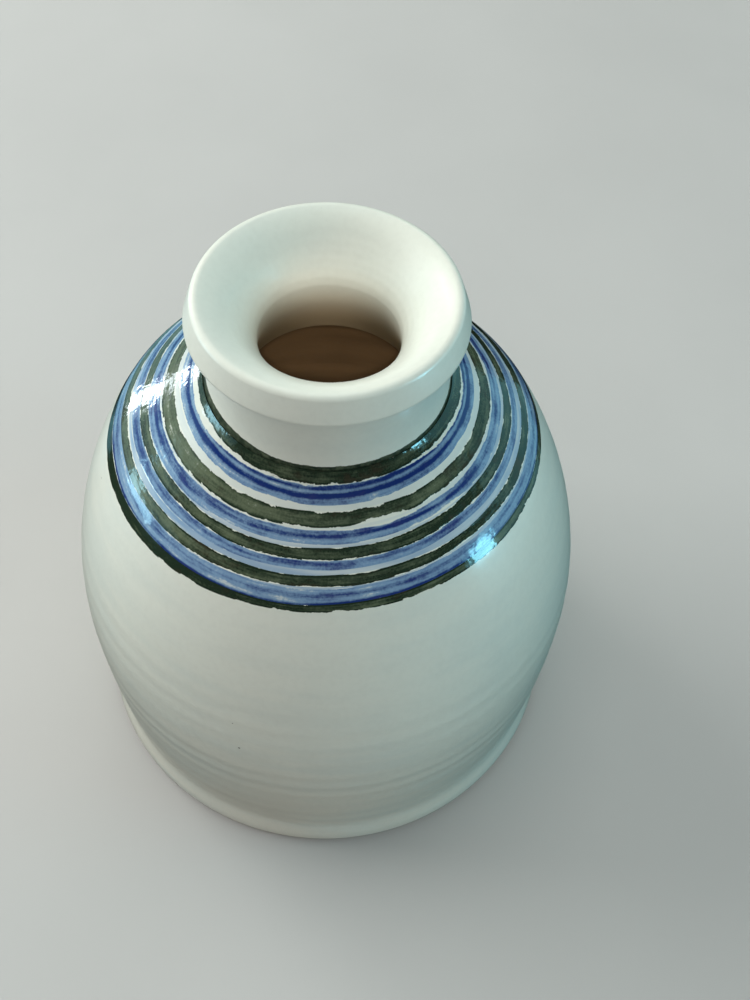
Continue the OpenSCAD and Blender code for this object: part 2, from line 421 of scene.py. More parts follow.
def capped_piece(name, path, columns):
    """An object whose section starts and ends on the axis, closed there by two poles."""
    hand = bpy.context.scene.vase_hand
    inner = path[1:-1]
    r, z = spun(inner, columns)
    rows = len(inner)
    walls = np.stack(out_of_true(r, z, around(columns)[None, :], hand), axis=-1).reshape(-1, 3)
    poles = np.array([[0.0, 0.0, path[0, 1]], [0.0, 0.0, path[-1, 1]]])
    first, last = rows * columns, rows * columns + 1
    column = np.arange(columns)
    beside = (column + 1) % columns
    top = (rows - 1) * columns
    start_fan = np.stack([np.full(columns, first), beside, column], axis=1)
    end_fan = np.stack([top + column, top + beside, np.full(columns, last)], axis=1)
    mesh = mesh_of(name, np.concatenate([walls, poles]), woven(rows, columns, closed=False),
                   np.concatenate([start_fan, end_fan]), {})
    return linked(name, mesh)


def linked(name, mesh):
    """An object for the mesh, in the scene."""
    piece = bpy.data.objects.new(name, mesh)
    bpy.context.scene.collection.objects.link(piece)
    return piece


def finished(piece, material, slot_name, *nodes):
    """Gives the piece its material, hides the frame's parts that it stands for, and hangs it on the root
    body.
    """
    piece.data.materials.append(material)
    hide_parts(*nodes)
    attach(piece, "root")


# ---------------------------------------------------------------- the pattern

BANDS = ["green_band_1", "blue_band_1", "green_band_2", "blue_band_2", "green_band_3",
         "blue_band_3", "green_band_4", "blue_band_4", "green_band_5"]
WIDE_SIDE = math.radians(123)  # where the pattern is widest round the pot
FRONT = math.radians(-90)
LEFT_SIDE, LEFT_REACH = 185, 85  # where the second number of ASIDE counts, in degrees
TOUCHING = 0.0002  # bands closer than this share an edge

# How far each edge of the pattern was painted off its place, from the neck's root down, at the
# front of the pot and further at its left, in millimetres.
ASIDE = [
    (0.00, 0.00), (0.32, -0.87), (0.22, -0.18), (-0.22, -0.40), (0.17, -0.20),
    (-0.34, -0.60), (-0.10, -0.30), (-0.12, -0.70), (-0.28, -0.90), (0.00, -0.60),
    (0.02, -0.90), (-0.28, -0.60), (-0.50, -1.10), (-0.70, -0.75), (-0.22, 0.10),
]


def pattern_strips(outline):
    """Bands and white gaps from the neck's root down, as a name and the two ends of its width."""
    s = np.linspace(0.0, 0.030, 3001)
    z = outline.shoulder(s)[1]
    sink = outline.shape.coat * math.sin(outline.shape.slope)
    tops = [float(np.interp(-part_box(name)[TOP].z, -z, s)) for name in BANDS]
    ends = [float(np.interp(-(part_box(name)[FOOT].z + sink), -z, s)) for name in BANDS]
    strips = []
    for k, name in enumerate(BANDS):
        following = tops[k + 1] if k + 1 < len(BANDS) else ends[k]
        touching = following - ends[k] < TOUCHING
        end = following if touching else ends[k]
        strips.append((name, tops[k], end))
        if not touching:
            strips.append(("white", end, following))
    return strips


def strip_edges(strips, turn):
    """Each edge between strips, once round the pot, as its length down the shoulder.

    An edge is its own length, moved aside by the hand, stretched towards the pattern's wide side,
    and given a slow wander made of three waves of random phase. The first edge stays on the
    neck's root.
    """
    hand = bpy.context.scene.vase_hand
    dice = np.random.default_rng(7)
    wide = math.cos(FRONT - WIDE_SIDE)
    left = bump(turn, LEFT_SIDE, LEFT_REACH)
    edges = []
    lengths = [strips[0][1]] + [strip[2] for strip in strips]
    for s, (front_aside, left_aside) in zip(lengths, ASIDE):
        s += front_aside * MM
        spread = hand.spread * smooth(0.0, 0.012, s)
        stretch = 1 + spread * (np.cos(turn - WIDE_SIDE) - wide)
        phases = dice.uniform(0, 2 * np.pi, 3)
        waves = sum(np.sin(n * turn + p) / n ** 0.5 for n, p in zip((3, 7, 13), phases))
        wander = hand.wander * waves * min(1.0, s / (2 * MM))
        edges.append(s * stretch + left_aside * MM * left + wander)
    return edges


def strip_section(outline, upper, lower, rows):
    """Section of the coat between two edges: up its outside, then down the clay beneath it."""
    coat = outline.shape.coat
    share = np.linspace(0.0, 1.0, rows + 1)[:, None]
    s_out = lower[None, :] + (upper - lower)[None, :] * share
    back = np.linspace(1.0, 0.0, 3)[:, None]
    s_in = lower[None, :] + (upper - lower)[None, :] * back
    r_out, z_out = outline.shoulder(s_out)
    r_in, z_in = outline.shoulder(s_in, coat)
    return np.concatenate([r_out, r_in]), np.concatenate([z_out, z_in]), np.concatenate([s_out, s_in])


def bump(turn, degrees, reach):
    """A smooth rise of 1 round one side of the pot: its middle and its reach, in degrees."""
    off = np.angle(np.exp(1j * (turn - math.radians(degrees))))
    return np.clip(np.cos(np.clip(off / math.radians(reach), -1, 1) * np.pi / 2), 0, 1) ** 2


# Where the brush left ground bare inside a band: edge, middle and reach in degrees, and length.
BARE = {
    "blue_band_1": [("upper", 190, 75, 1.10 * MM), ("upper", -25, 38, 0.55 * MM),
                    ("lower", 190, 40, 0.25 * MM)],
    "blue_band_2": [("upper", -70, 26, 0.30 * MM), ("lower", -50, 20, 0.35 * MM),
                    ("upper", 185, 45, 0.25 * MM)],
    "green_band_2": [("lower", -72, 12, 0.45 * MM)],
    "blue_band_3": [("lower", 200, 50, 0.20 * MM)],
    "blue_band_4": [("lower", 190, 60, 0.55 * MM), ("lower", -15, 40, 0.40 * MM)],
    "green_band_4": [("upper", 180, 30, 0.20 * MM)],
}


# Ground left bare inside a band's upper and lower edges, in millimetres: none where below zero.
MARGINS = {
    "green_band_1": (-0.30, 0.05), "green_band_2": (0.05, 0.05), "green_band_3": (0.00, 0.03),
    "green_band_4": (0.02, 0.03), "green_band_5": (-0.25, 0.03), "blue_band_1": (-0.05, -0.10),
    "blue_band_2": (-0.10, -0.15), "blue_band_3": (-0.10, -0.20), "blue_band_4": (-0.15, -0.50),
}


def band_piece(outline, strips, edges, name):
    """One band, with the attributes that its brushwork reads.

    stroke is the place on a drum of constant radius, so that streaks run round the pot without a
    seam. across runs from 0 at the band's upper edge to 1 at its lower one. upper_in and lower_in
    are the lengths inside the painted edges, in millimetres.
    """
    k = next(i for i, strip in enumerate(strips) if strip[0] == name)
    upper, lower = edges[k], edges[k + 1]
    turn = around(FINE_COLUMNS)
    r, z, s = strip_section(outline, upper, lower, 8)
    upper_margin, lower_margin = MARGINS[name]
    bare = {"upper": np.full(FINE_COLUMNS, upper_margin * MM),
            "lower": np.full(FINE_COLUMNS, lower_margin * MM)}
    for edge, middle, reach, deep in BARE.get(name, []):
        bare[edge] = bare[edge] + deep * bump(turn, middle, reach)
    stroke = np.stack(np.broadcast_arrays(
        DRUM * np.cos(turn)[None, :], DRUM * np.sin(turn)[None, :], s), axis=-1)
    attributes = {
        "stroke": stroke.reshape(-1, 3),
        "across": ((s - upper) / (lower - upper)).ravel(),
        "upper_in": ((s - upper - bare["upper"]) / MM).ravel(),
        "lower_in": ((lower - bare["lower"] - s) / MM).ravel(),
    }
    return ring_piece(name.replace("band", "ring"), [(r, z)], FINE_COLUMNS, attributes)


# ---------------------------------------------------------------- shading


class Wiring:
    """Adds nodes to a node tree and returns their output sockets."""

    def __init__(self, tree):
        """Starts on an empty tree."""
        self.tree = tree
        self.column = 0

    def node(self, kind, **inputs):
        """A node of that kind, with its inputs set or linked by name."""
        made = self.tree.nodes.new(kind)
        made.location = (self.column * 180, 0)
        self.column += 1
        for name, value in inputs.items():
            self.feed(made.inputs[name.replace("_", " ")], value)
        return made

    def feed(self, socket, value):
        """Links the value if it is a socket, and sets it otherwise."""
        if isinstance(value, bpy.types.NodeSocket):
            self.tree.links.new(value, socket)
        elif socket.type == "RGBA" and len(value) == 3:
            socket.default_value = (*value, 1.0)
        else:
            socket.default_value = value

    def maths(self, operation, *values, clamp=False):
        """One sum on plain numbers."""
        made = self.node("ShaderNodeMath")
        made.operation = operation
        made.use_clamp = clamp
        for socket, value in zip(made.inputs, values):
            self.feed(socket, value)
        return made.outputs[0]

    def blend(self, share, first, second):
        """Mixes two colours."""
        made = self.node("ShaderNodeMix")
        made.data_type = "RGBA"
        self.feed(made.inputs[0], share)
        self.feed(made.inputs[6], first)
        self.feed(made.inputs[7], second)
        return made.outputs[2]

    def rise(self, value, low, high, start=0.0, end=1.0):
        """Rises smoothly from start to end while value goes from low to high."""
        made = self.node("ShaderNodeMapRange")
        made.interpolation_type = "SMOOTHSTEP"
        for name, given in (("Value", value), ("From Min", low), ("From Max", high),
                            ("To Min", start), ("To Max", end)):
            self.feed(made.inputs[name], given)
        return made.outputs[0]

    def noise(self, place, scale, detail=2.0, roughness=0.5):
        """Cloudy noise from 0 to 1 at a place."""
        made = self.node("ShaderNodeTexNoise", Vector=place, Scale=scale, Detail=detail,
                         Roughness=roughness)
        return made.outputs[0]

    def scaled(self, place, scale):
        """The place stretched by three factors."""
        made = self.node("ShaderNodeMapping", Vector=place, Scale=scale)
        return made.outputs[0]

    def moved(self, place, seed):
        """The place moved far along X, so that another seed gives other noise."""
        made = self.node("ShaderNodeCombineXYZ", X=seed)
        added = self.node("ShaderNodeVectorMath")
        added.operation = "ADD"
        self.feed(added.inputs[0], place)
        self.feed(added.inputs[1], made.outputs[0])
        return added.outputs[0]

    def attribute(self, name, vector=False):
        """A named attribute of the piece."""
        made = self.node("ShaderNodeAttribute")
        made.attribute_name = name
        return made.outputs["Vector" if vector else "Fac"]


def new_group(name, inputs, outputs):
    """An empty node group with its sockets, its wiring, its inputs by name and its output node."""
    tree = bpy.data.node_groups.new(name, "ShaderNodeTree")
    kinds = {"number": "NodeSocketFloat", "colour": "NodeSocketColor", "vector": "NodeSocketVector"}
    for label, kind in inputs:
        tree.interface.new_socket(name=label, in_out="INPUT", socket_type=kinds[kind])
    for label, kind in outputs:
        tree.interface.new_socket(name=label, in_out="OUTPUT", socket_type=kinds[kind])
    wiring = Wiring(tree)
    given = wiring.node("NodeGroupInput").outputs
    return wiring, given, tree.nodes.new("NodeGroupOutput")


def fired_ground():
    """Group: a thrown and glazed surface. Cloudy colour, pinholes and the skin of the glaze."""
    w, given, out = new_group(
        "Fired ground",
        [("Place", "vector"), ("Colour", "colour"), ("Thin colour", "colour"),
         ("Cloud", "number"), ("Pinholes", "number")],
        [("Colour", "colour"), ("Height", "number"), ("Roughness", "number")],
    )
    place = given["Place"]
    cloud = w.noise(place, 38.0, detail=3.0, roughness=0.6)
    streak = w.noise(w.scaled(place, (30.0, 30.0, 330.0)), 1.0, detail=2.0)
    fine = w.noise(place, 900.0, detail=2.0)
    mixed = w.maths("ADD", w.maths("MULTIPLY", cloud, 0.6), w.maths("MULTIPLY", streak, 0.4))
    share = w.maths("MULTIPLY", w.rise(mixed, 0.40, 0.66), given["Cloud"])
    base = w.blend(share, given["Colour"], given["Thin colour"])
    grain = w.maths("MULTIPLY", w.rise(fine, 0.35, 0.75), 0.05)
    base = w.blend(grain, base, (0.30, 0.29, 0.24))
    pores = w.node("ShaderNodeTexVoronoi", Vector=place, Scale=130.0)
    chance = w.node("ShaderNodeSeparateColor", Color=pores.outputs["Color"]).outputs[0]
    size = w.maths("MULTIPLY", w.rise(chance, 0.72, 1.0), 0.034)
    hole = w.maths("MULTIPLY", w.rise(pores.outputs["Distance"], w.maths("MULTIPLY", size, 0.45),
                                      w.maths("ADD", size, 0.0005), 1.0, 0.0), given["Pinholes"])
    base = w.blend(hole, base, (0.06, 0.05, 0.035))
    peel = w.noise(place, 420.0, detail=2.0, roughness=0.45)
    height = w.maths("SUBTRACT", w.maths("ADD", w.maths("MULTIPLY", peel, 0.8),
                                         w.maths("MULTIPLY", fine, 0.15)), hole)
    rough = w.rise(cloud, 0.3, 0.7, 0.29, 0.37)
    for name, socket in (("Colour", base), ("Height", height), ("Roughness", rough)):
        w.feed(out.inputs[name], socket)
    return w.tree


def brushed_glaze():
    """Group: one turn of the brush. A wash with ragged edges, streaks and two darker lines."""
    w, given, out = new_group(
        "Brushed glaze",
        [("Ground", "colour"), ("Thin", "colour"), ("Thick", "colour"), ("Burnt", "colour"),
         ("Body", "number"), ("Patches", "number"), ("Softness", "number"), ("Raggedness", "number"),
         ("Line 1 place", "number"), ("Line 1 width", "number"), ("Line 1 depth", "number"),
         ("Line 2 place", "number"), ("Line 2 width", "number"), ("Line 2 depth", "number"),
         ("Thin side", "number"), ("Seed", "number")],
        [("Colour", "colour"), ("Height", "number"), ("Roughness", "number")],
    )
    stroke = w.moved(w.attribute("stroke", vector=True), given["Seed"])
    along = w.scaled(stroke, (70.0, 70.0, 1500.0))
    streak = w.noise(along, 1.0, detail=3.0, roughness=0.6)
    long_streak = w.noise(w.scaled(stroke, (26.0, 26.0, 520.0)), 1.0, detail=2.0)
    patch = w.noise(w.scaled(stroke, (1.0, 1.0, 2.2)), 190.0, detail=3.0, roughness=0.65)
    speck = w.noise(stroke, 2600.0, detail=2.0, roughness=0.6)

    # Edges: a slow wave, sharp jags where the brush was set down again, and fine teeth.
    slow = w.noise(w.scaled(stroke, (1.0, 1.0, 0.4)), 240.0, detail=2.0)
    teeth = w.noise(stroke, 1100.0, detail=3.0, roughness=0.7)
    split = w.node("ShaderNodeSeparateXYZ", Vector=w.attribute("stroke", vector=True))
    turn = w.maths("ARCTAN2", split.outputs["Y"], split.outputs["X"])
    warped = w.maths("ADD", w.maths("MULTIPLY", turn, 17.0 / (2 * math.pi)),
                     w.maths("MULTIPLY", w.noise(stroke, 60.0), 9.0))
    jag = w.maths("FRACT", warped)
    wave = w.maths("ADD", w.maths("MULTIPLY", w.maths("SUBTRACT", slow, 0.5), 2.0),
                   w.maths("ADD", w.maths("MULTIPLY", w.maths("SUBTRACT", teeth, 0.5), 1.3),
                           w.maths("MULTIPLY", w.maths("SUBTRACT", jag, 0.5), 0.4)))
    ragged = w.maths("MULTIPLY", wave, given["Raggedness"])
    upper = w.maths("SUBTRACT", w.attribute("upper_in"), ragged)
    lower = w.maths("ADD", w.attribute("lower_in"), w.maths("MULTIPLY", ragged, 0.9))
    inside = w.maths("MULTIPLY",
                     w.rise(upper, 0.0, given["Softness"]), w.rise(lower, 0.0, given["Softness"]))

    # Thickness of the wash: its body, patches, streaks and the two lines.
    across = w.maths("ADD", w.attribute("across"),
                     w.maths("MULTIPLY", w.maths("SUBTRACT", long_streak, 0.5), 0.16))
    thickness = w.maths("ADD", given["Body"], w.maths(
        "MULTIPLY", w.maths("SUBTRACT", patch, 0.5), w.maths("MULTIPLY", given["Patches"], 1.6)))
    for grain, share in ((streak, 0.95), (speck, 0.45)):
        swing = w.maths("MULTIPLY", w.maths("SUBTRACT", grain, 0.5), share)
        thickness = w.maths("ADD", thickness, swing)
    for line in ("Line 1", "Line 2"):
        off = w.maths("ABSOLUTE", w.maths("SUBTRACT", across, given[line + " place"]))
        on = w.rise(off, 0.0, given[line + " width"], 1.0, 0.0)
        worn = w.rise(long_streak, 0.22, 0.52, 0.35, 1.0)
        strength = w.maths("MULTIPLY", given[line + " depth"], worn)
        thickness = w.maths("ADD", thickness, w.maths("MULTIPLY", on, strength))
    thinned = w.maths("MULTIPLY", w.rise(split.outputs["X"], 0.004, -0.026), given["Thin side"])
    thickness = w.maths("SUBTRACT", thickness, thinned)
    laid = w.maths("MULTIPLY", w.maths("MAXIMUM", thickness, 0.20), inside)
    pale = w.blend(w.rise(laid, 0.02, 0.42), given["Ground"], given["Thin"])
    deep = w.blend(w.rise(patch, 0.52, 0.72), given["Thick"], given["Burnt"])
    base = w.blend(w.rise(laid, 0.38, 1.0), pale, deep)
    ripple = w.noise(stroke, 420.0, detail=2.0)
    height = w.maths("ADD", w.maths("MULTIPLY", laid, 0.5), w.maths("MULTIPLY", ripple, 2.5))
    rough = w.rise(patch, 0.3, 0.75, 0.10, 0.22)
    for name, socket in (("Colour", base), ("Height", height), ("Roughness", rough)):
        w.feed(out.inputs[name], socket)
    return w.tree


def group(name, make):
    """The node group of that name, made the first time that it is asked for."""
    return bpy.data.node_groups.get(name) or make()


def new_material(name, roughness, coat, coat_roughness):
    """A material with its wiring and its Principled shader."""
    material = bpy.data.materials.new(name)
    material.use_nodes = True
    shader = material.node_tree.nodes["Principled BSDF"]
    shader.inputs["Roughness"].default_value = roughness
    shader.inputs["Coat Weight"].default_value = coat
    shader.inputs["Coat Roughness"].default_value = coat_roughness
    return material, Wiring(material.node_tree), shader


def dress(w, shader, maker, strength, distance):
    """Feeds a group's colour, roughness and height to the shader."""
    w.feed(shader.inputs["Base Color"], maker.outputs["Colour"])
    w.feed(shader.inputs["Roughness"], maker.outputs["Roughness"])
    relief = w.node("ShaderNodeBump", Strength=strength, Distance=distance,
                    Height=maker.outputs["Height"])
    w.feed(shader.inputs["Normal"], relief.outputs[0])
    w.feed(shader.inputs["Coat Normal"], relief.outputs[0])


def placed_group(w, name, make, **values):
    """A node that holds the group, with its inputs set or linked by name."""
    made = w.node("ShaderNodeGroup")
    made.node_tree = group(name, make)
    for key, value in values.items():
        w.feed(made.inputs[key.replace("_", " ")], value)
    return made


def object_place(w):
    """Object coordinates, in metres."""
    return w.node("ShaderNodeTexCoord").outputs["Object"]


def ivory_glaze(name, pinholes, cloud):
    """White glaze: ivory with cooler clouds, a few pinholes and a soft skin, and painted shade that
    turns it darker and pinker towards the foot.
    """
    tints = bpy.context.scene.vase_colours
    material, w, shader = new_material(name, 0.25, 0.35, 0.12)
    place = object_place(w)
    ivory = tuple(tints.ivory)
    cool = (ivory[0] * 0.90, ivory[1] * 0.93, ivory[2] * 0.95)
    # Painted shade: the glaze is made a little darker and pinker towards the foot, standing in for the
    # shade on the lower body.
    foot_shade_tint = (ivory[0] * 0.98, ivory[1] * 0.94, ivory[2] * 0.92)
    height = w.node("ShaderNodeSeparateXYZ", Vector=place).outputs["Z"]
    shaded_towards_foot = w.blend(w.rise(height, 0.012, 0.050, 1.0, 0.0), ivory, foot_shade_tint)
    ground = placed_group(w, "Fired ground", fired_ground, Place=place, Colour=shaded_towards_foot,
                          Thin_colour=cool, Cloud=cloud, Pinholes=pinholes)
    dress(w, shader, ground, 0.35, 0.00012)
    return material, w, shader, ground


def stained_ivory():
    """White glaze between the bands: glassier, and stained with streaks of watery blue lower down, with
    more of the same blue towards the left and right sides as painted sheen.
    """
    tints = bpy.context.scene.vase_colours
    material, w, shader, ground = ivory_glaze("ivory_shoulder", 0.4, 0.6)
    shader.inputs["Coat Weight"].default_value = 0.8
    shader.inputs["Coat Roughness"].default_value = 0.05
    place = object_place(w)
    streak = w.noise(w.scaled(place, (60.0, 60.0, 900.0)), 1.0, detail=3.0)
    split = w.node("ShaderNodeSeparateXYZ", Vector=place)
    lower = w.rise(split.outputs["Z"], 0.0865, 0.0825, 0.12, 0.85)
    # Painted sheen: the blue streaks grow stronger towards the left and right sides, where the light
    # glances off the glaze.
    side_sheen = w.rise(w.maths("ABSOLUTE", split.outputs["X"]), 0.015, 0.034, 0.0, 0.35)
    wash = w.maths("ADD", lower, side_sheen, clamp=True)
    stain_and_sheen = w.maths("MULTIPLY", w.rise(streak, 0.30, 0.62, 0.5, 1.0), wash)
    w.feed(shader.inputs["Base Color"], w.blend(stain_and_sheen, ground.outputs["Colour"], tuple(tints.sky)))
    return material


def neck_ivory():
    """White glaze of the neck. Down the throat it turns tan, partly as the glaze thins over the clay and
    partly as painted shade deep in the throat, and green climbs its root.
    """
    tints = bpy.context.scene.vase_colours
    material, w, shader, ground = ivory_glaze("ivory_neck", 0.6, 0.5)
    split = w.node("ShaderNodeSeparateXYZ", Vector=object_place(w))
    radius = w.maths("SQRT", w.maths("ADD", w.maths("POWER", split.outputs["X"], 2.0),
                                     w.maths("POWER", split.outputs["Y"], 2.0)))
    within = w.rise(radius, 0.0155, 0.0175, 1.0, 0.0)
    deep = w.rise(split.outputs["Z"], 0.0880, 0.1050, 1.0, 0.0)
    # Partly painted shade: the throat turns tan deeper in, for the glaze thinning over the clay and for
    # the shade inside the throat.
    tan = w.blend(w.maths("MULTIPLY", within, deep), ground.outputs["Colour"], (0.57, 0.43, 0.26))
    ragged = w.noise(object_place(w), 900.0, detail=3.0, roughness=0.7)
    height = w.maths("ADD", split.outputs["Z"], w.maths("MULTIPLY", ragged, -0.0006))
    height = w.maths("SUBTRACT", height, w.rise(split.outputs["X"], -0.006, -0.019, 0.0, 0.0009))
    climb = w.rise(height, NECK_ROOT + 0.0003, NECK_ROOT + 0.00036, 1.0, 0.0)
    outside = w.maths("GREATER_THAN", radius, 0.0175)
    green = w.blend(w.rise(ragged, 0.35, 0.75), tuple(tints.moss), tuple(tints.sage))
    w.feed(shader.inputs["Base Color"], w.blend(w.maths("MULTIPLY", climb, outside), tan, green))
    shader.inputs["Coat Weight"].default_value = 0.2
    shader.inputs["Coat Roughness"].default_value = 0.16
    return material


def bare_clay():
    """Bare fired clay: buff, gritty and matte."""
    tints = bpy.context.scene.vase_colours
    material, w, shader = new_material("bare_stoneware", 0.8, 0.0, 0.1)
    clay = tuple(tints.clay)
    rusty = (clay[0] * 0.75, clay[1] * 0.66, clay[2] * 0.55)
    ground = placed_group(w, "Fired ground", fired_ground, Place=object_place(w), Colour=clay,
                          Thin_colour=rusty, Cloud=0.8, Pinholes=1.0)
    dress(w, shader, ground, 0.7, 0.00025)
    matte = w.maths("ADD", ground.outputs["Roughness"], 0.5)
    w.feed(shader.inputs["Roughness"], matte)
    return material


def honey_liner():
    """Brown liner glaze inside the body."""
    tints = bpy.context.scene.vase_colours
    material, w, shader = new_material("honey_liner", 0.4, 0.2, 0.2)
    honey = tuple(tints.honey)
    ground = placed_group(w, "Fired ground", fired_ground, Place=object_place(w), Colour=honey,
                          Thin_colour=tuple(0.7 * part for part in honey), Cloud=0.8, Pinholes=0.5)
    dress(w, shader, ground, 0.4, 0.0002)
    return material


# One row a band: body, patches, softness, raggedness, two lines as place, width and depth across
# the band, how much the glaze thins on the left of the pot, and how glassy it is.
BRUSHWORK = {
    "green_band_1": (0.84, 0.60, 0.07, 0.55, (0.94, 0.16, 0.40), (0.06, 0.12, 0.20), 0.05, 0.8),
    "green_band_2": (0.76, 0.60, 0.07, 0.60, (0.95, 0.14, 0.40), (0.05, 0.12, 0.30), 0.26, 0.15),
    "green_band_3": (0.88, 0.65, 0.07, 0.45, (0.95, 0.16, 0.45), (0.08, 0.14, 0.25), 0.22, 0.8),
    "green_band_4": (0.90, 0.65, 0.07, 0.45, (0.05, 0.16, 0.50), (0.94, 0.14, 0.30), 0.26, 0.8),
    "green_band_5": (0.74, 0.65, 0.07, 0.55, (0.93, 0.20, 0.50), (0.06, 0.20, 0.60), -0.35, 0.6),
    "blue_band_1": (0.52, 0.60, 0.22, 0.30, (0.15, 0.20, 0.60), (0.54, 0.24, 0.62), 0.10, 0.8),
    "blue_band_2": (0.50, 0.70, 0.28, 0.30, (0.44, 0.28, 0.42), (0.12, 0.18, 0.25), 0.00, 0.8),
    "blue_band_3": (0.50, 0.65, 0.25, 0.25, (0.40, 0.40, 0.25), (0.85, 0.20, 0.10), -0.05, 0.8),
    "blue_band_4": (0.48, 0.60, 0.25, 0.25, (0.40, 0.28, 0.20), (0.96, 0.20, 0.60), 0.00, 0.8),
}


def band_glaze(name, seed):
    """Coloured glaze of one band, green or blue by its name."""
    tints = bpy.context.scene.vase_colours
    green = name.startswith("green")
    thin, thick, burnt = (
        (tints.sage, tints.moss, tints.umber) if green else (tints.sky, tints.cobalt, tints.violet)
    )
    body, patches, softness, raggedness, line_1, line_2, thin_side, glass = BRUSHWORK[name]
    material, w, shader = new_material(name.replace("band", "glaze"), 0.15, glass, 0.035)
    brushed = placed_group(
        w, "Brushed glaze", brushed_glaze, Ground=tuple(tints.ivory), Thin=tuple(thin),
        Thick=tuple(thick), Burnt=tuple(burnt),
        Body=body, Patches=patches, Softness=softness, Raggedness=raggedness,
        Line_1_place=line_1[0], Line_1_width=line_1[1], Line_1_depth=line_1[2],
        Line_2_place=line_2[0], Line_2_width=line_2[1], Line_2_depth=line_2[2],
        Thin_side=thin_side, Seed=float(seed),
    )
    dress(w, shader, brushed, 0.42, 0.0001)
    return material


# ---------------------------------------------------------------- operators


class VASE_OT_clay(bpy.types.Operator):
    """Build the thrown body with its bare foot, and the thrown neck"""

    bl_idname = "vase.clay"
    bl_label = "Clay"

    def execute(self, context):
        """Revolves the sections of the body and the neck."""
        shape = context.scene.vase_shape
        outline = Outline(shape)
        coat = shape.coat
        clay = bare_clay()
        z = np.linspace(GLAZE_LINE, shape.belly_height, 40)
        s = np.linspace(outline.shoulder_length, 0.0, 60)[1:]
        side = np.stack([outline.side(z) - coat, z], axis=1)
        shoulder = np.stack(outline.shoulder(s, coat), axis=1)
        neck = inset(outline.neck_and_mouth(), coat)
        rim = neck[0]
        inner = np.flatnonzero((neck[:, 1] < rim[1]) & (neck[:, 0] < rim[0] - shape.wall / 2))
        collar_path, throat_path = neck[:inner[0]], neck[inner[0]:]
        rim_inside = np.array([np.interp(-rim[1], -neck[-20:, 1], neck[-20:, 0]), rim[1]])
        foot_radius = side[0, 0]
        foot_inner = foot_radius - shape.foot_width
        across = np.linspace(0.0, foot_inner - shape.foot_hollow, 120)
        turned = 0.00007 * np.sin(2 * np.pi * across / 0.0023) * smooth(0.0, 0.004, across)
        underside = np.stack([across, shape.foot_hollow + turned], axis=1)
        foot = arc(np.array([foot_radius - shape.foot_round, shape.foot_round]), shape.foot_round,
                   -math.pi / 2, 0.0, 8)
        chamber = inset(outline.chamber(), coat)[1:-1]
        body_path = np.concatenate([
            underside, [[foot_inner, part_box("clay_body")[FOOT].z]], foot, side, shoulder[:-1],
            [rim, rim_inside], throat_path, chamber, [[0.0, shape.floor - coat]],
        ])
        body = capped_piece("thrown_body", body_path, PLAIN_COLUMNS)
        finished(body, clay, "bare_clay", "clay_body")
        neck_path = np.concatenate([collar_path, [rim_inside]])
        collar = ring_piece("thrown_neck", [spun(neck_path, PLAIN_COLUMNS)], PLAIN_COLUMNS)
        finished(collar, clay, "bare_clay", "clay_neck")
        return {"FINISHED"}


class VASE_OT_white_coats(bpy.types.Operator):
    """Build the white glaze on the body, between the bands, and on the neck, lip and throat"""

    bl_idname = "vase.white_coats"
    bl_label = "White coats"

    def execute(self, context):
        """Follows the outline with a coat, up to the pattern's lowest edge and from its highest."""
        shape = context.scene.vase_shape
        outline = Outline(shape)
        strips = pattern_strips(outline)
        turn = around(FINE_COLUMNS)
        edges = strip_edges(strips, turn)

        z = np.linspace(GLAZE_LINE, shape.belly_height, 56)[:-1]
        side_out = spun(np.stack([outline.side(z), z], axis=1), FINE_COLUMNS)
        z_in = z[::-4]
        side_in = spun(np.stack([outline.side(z_in) - shape.coat, z_in], axis=1), FINE_COLUMNS)
        share = np.linspace(0.0, 1.0, 46)[:, None]
        s_out = outline.shoulder_length + (edges[-1][None, :] - outline.shoulder_length) * share
        shoulder_out = outline.shoulder(s_out)
        shoulder_in = outline.shoulder(s_out[::-5], shape.coat)
        section = tuple(
            np.concatenate([a, b, c, d])
            for a, b, c, d in zip(side_out, shoulder_out, shoulder_in, side_in)
        )
        body = ring_piece("body_coat", [section], FINE_COLUMNS)
        finished(body, ivory_glaze("ivory_body", 1.0, 0.8)[0], "white_glaze", "body_glaze")

        gaps = [k for k, strip in enumerate(strips) if strip[0] == "white"]
        sections = [strip_section(outline, edges[k], edges[k + 1], 4)[:2] for k in gaps]
        rings = ring_piece("shoulder_rings", sections, FINE_COLUMNS)
        finished(rings, stained_ivory(), "white_glaze", "shoulder_glaze")

        path = outline.neck_and_mouth()
        under = inset(path, shape.coat)
        tuck = path[:1] - [[0.0, shape.coat]]
        loop = np.concatenate([tuck, path, under[::-4]])
        neck = ring_piece("neck_coat", [spun(loop, NECK_COLUMNS)], NECK_COLUMNS)
        finished(neck, neck_ivory(), "white_glaze", "neck_glaze")
        return {"FINISHED"}


class VASE_OT_liner(bpy.types.Operator):
    """Build the brown liner glaze inside the body"""

    bl_idname = "vase.liner"
    bl_label = "Liner"

    def execute(self, context):
        """Revolves the chamber's outline with the coat behind it."""
        shape = context.scene.vase_shape
        chamber = Outline(shape).chamber()
        behind = inset(chamber, shape.coat)
        behind[0] = inset(Outline(shape).neck_and_mouth(), shape.coat)[-1]
        behind[-1] = [0.0, shape.floor - shape.coat]
        path = np.concatenate([behind[::-1], chamber])
        liner = capped_piece("liner_coat", path, PLAIN_COLUMNS)
        finished(liner, honey_liner(), "liner_glaze", "liner_glaze")
        return {"FINISHED"}


